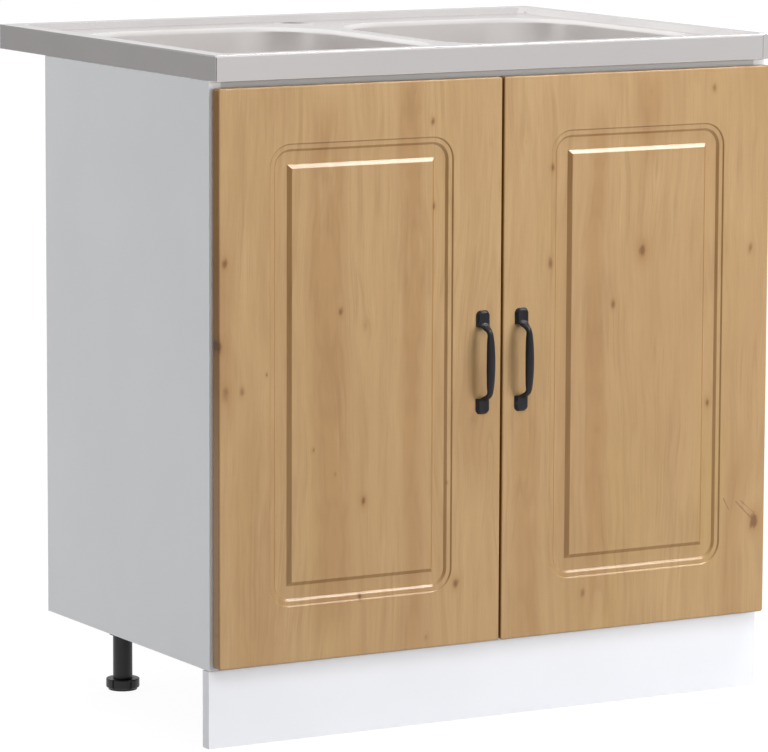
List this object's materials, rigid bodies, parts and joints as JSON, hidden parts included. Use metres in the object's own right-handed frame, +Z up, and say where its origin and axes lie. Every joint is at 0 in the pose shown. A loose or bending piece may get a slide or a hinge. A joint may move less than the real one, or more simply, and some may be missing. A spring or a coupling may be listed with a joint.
{
  "type": "kitchen sink base cabinet",
  "caption": "Kitchen base cabinet on adjustable legs with a lay-on steel sink, routed wood doors with bow handles, concealed hinges and a clip-on plinth.",
  "frame": {"origin": "on the floor, under the middle of the whole unit", "axes": "+Z up, +X to the unit's right seen from the front, +Y from the doors to the back"},
  "size_m": [0.8, 0.627, 0.847],
  "materials": {
    "coated_board": "smooth grey-white coated board",
    "plinth_white": "smooth white coated board",
    "oak_door": "knotty oak film, satin",
    "beech": "plain turned wood",
    "black_metal": "matte black coating",
    "black_plastic": "moulded black plastic",
    "white_plastic": "moulded white plastic",
    "sink_steel": "satin steel sheet",
    "polished_steel": "polished steel sheet",
    "nickel_steel": "nickel plated steel",
    "zinc_steel": "zinc plated steel",
    "soft_bumper": "soft clear pad",
    "seal_rubber": "black rubber ring"
  },
  "bodies": {
    "cabinet": {"board_screws": "zinc_steel", "bottom_panel": "coated_board", "cam_bolts": "zinc_steel", "cam_locks": "zinc_steel", "front_top_rail": "coated_board", "hinge_arm_lower_left": "nickel_steel", "hinge_arm_lower_right": "nickel_steel", "hinge_arm_upper_left": "nickel_steel", "hinge_arm_upper_right": "nickel_steel", "hinge_plate_lower_left": "nickel_steel", "hinge_plate_lower_right": "nickel_steel", "hinge_plate_upper_left": "nickel_steel", "hinge_plate_upper_right": "nickel_steel", "left_bowl": "sink_steel", "left_side_panel": "coated_board", "left_waste_body": "white_plastic", "left_waste_cup": "polished_steel", "leg_socket_front_left": "black_plastic", "leg_socket_front_right": "black_plastic", "leg_socket_rear_left": "black_plastic", "leg_socket_rear_right": "black_plastic", "leg_tube_front_left": "black_plastic", "leg_tube_front_right": "black_plastic", "leg_tube_rear_left": "black_plastic", "leg_tube_rear_right": "black_plastic", "plinth_board": "plinth_white", "plinth_clips": "black_plastic", "rear_lower_rail": "coated_board", "rear_wall_rail": "coated_board", "right_bowl": "sink_steel", "right_side_panel": "coated_board", "right_waste_body": "white_plastic", "right_waste_cup": "polished_steel", "sink_clamps": "zinc_steel", "sink_top": "sink_steel", "waste_seals": "seal_rubber", "wood_dowels": "beech"},
    "left_door": {"left_door": "oak_door", "left_handle": "black_metal", "left_handle_screws": "zinc_steel", "left_door_bumpers": "soft_bumper", "left_hinge_pins": "nickel_steel", "left_hinge_cup_screws": "zinc_steel", "hinge_cup_upper_left": "nickel_steel", "hinge_cup_lower_left": "nickel_steel"},
    "left_strainer": {"left_strainer": "polished_steel"},
    "foot_front_left": {"foot_front_left": "black_plastic"},
    "foot_rear_left": {"foot_rear_left": "black_plastic"},
    "right_door": {"right_door": "oak_door", "right_handle": "black_metal", "right_handle_screws": "zinc_steel", "right_door_bumpers": "soft_bumper", "right_hinge_pins": "nickel_steel", "right_hinge_cup_screws": "zinc_steel", "hinge_cup_upper_right": "nickel_steel", "hinge_cup_lower_right": "nickel_steel"},
    "right_strainer": {"right_strainer": "polished_steel"},
    "foot_front_right": {"foot_front_right": "black_plastic"},
    "foot_rear_right": {"foot_rear_right": "black_plastic"}
  },
  "joints": [
    {"name": "left_door_hinge", "type": "hinge", "parent": "cabinet", "child": "left_door", "pos_m": [-0.3893, -0.279, 0.454], "axis": [0, 0, -1], "range_deg": [0, 95]},
    {"name": "left_strainer_lift", "type": "slide", "parent": "cabinet", "child": "left_strainer", "axis": [0, 0, 1], "range_m": [0, 0.08]},
    {"name": "foot_front_left_adjust", "type": "slide", "parent": "cabinet", "child": "foot_front_left", "axis": [0, 0, -1], "range_m": [0, 0.02]},
    {"name": "foot_rear_left_adjust", "type": "slide", "parent": "cabinet", "child": "foot_rear_left", "axis": [0, 0, -1], "range_m": [0, 0.02]},
    {"name": "right_door_hinge", "type": "hinge", "parent": "cabinet", "child": "right_door", "pos_m": [0.3893, -0.279, 0.454], "axis": [0, 0, 1], "range_deg": [0, 95]},
    {"name": "right_strainer_lift", "type": "slide", "parent": "cabinet", "child": "right_strainer", "axis": [0, 0, 1], "range_m": [0, 0.08]},
    {"name": "foot_front_right_adjust", "type": "slide", "parent": "cabinet", "child": "foot_front_right", "axis": [0, 0, -1], "range_m": [0, 0.02]},
    {"name": "foot_rear_right_adjust", "type": "slide", "parent": "cabinet", "child": "foot_rear_right", "axis": [0, 0, -1], "range_m": [0, 0.02]}
  ]
}
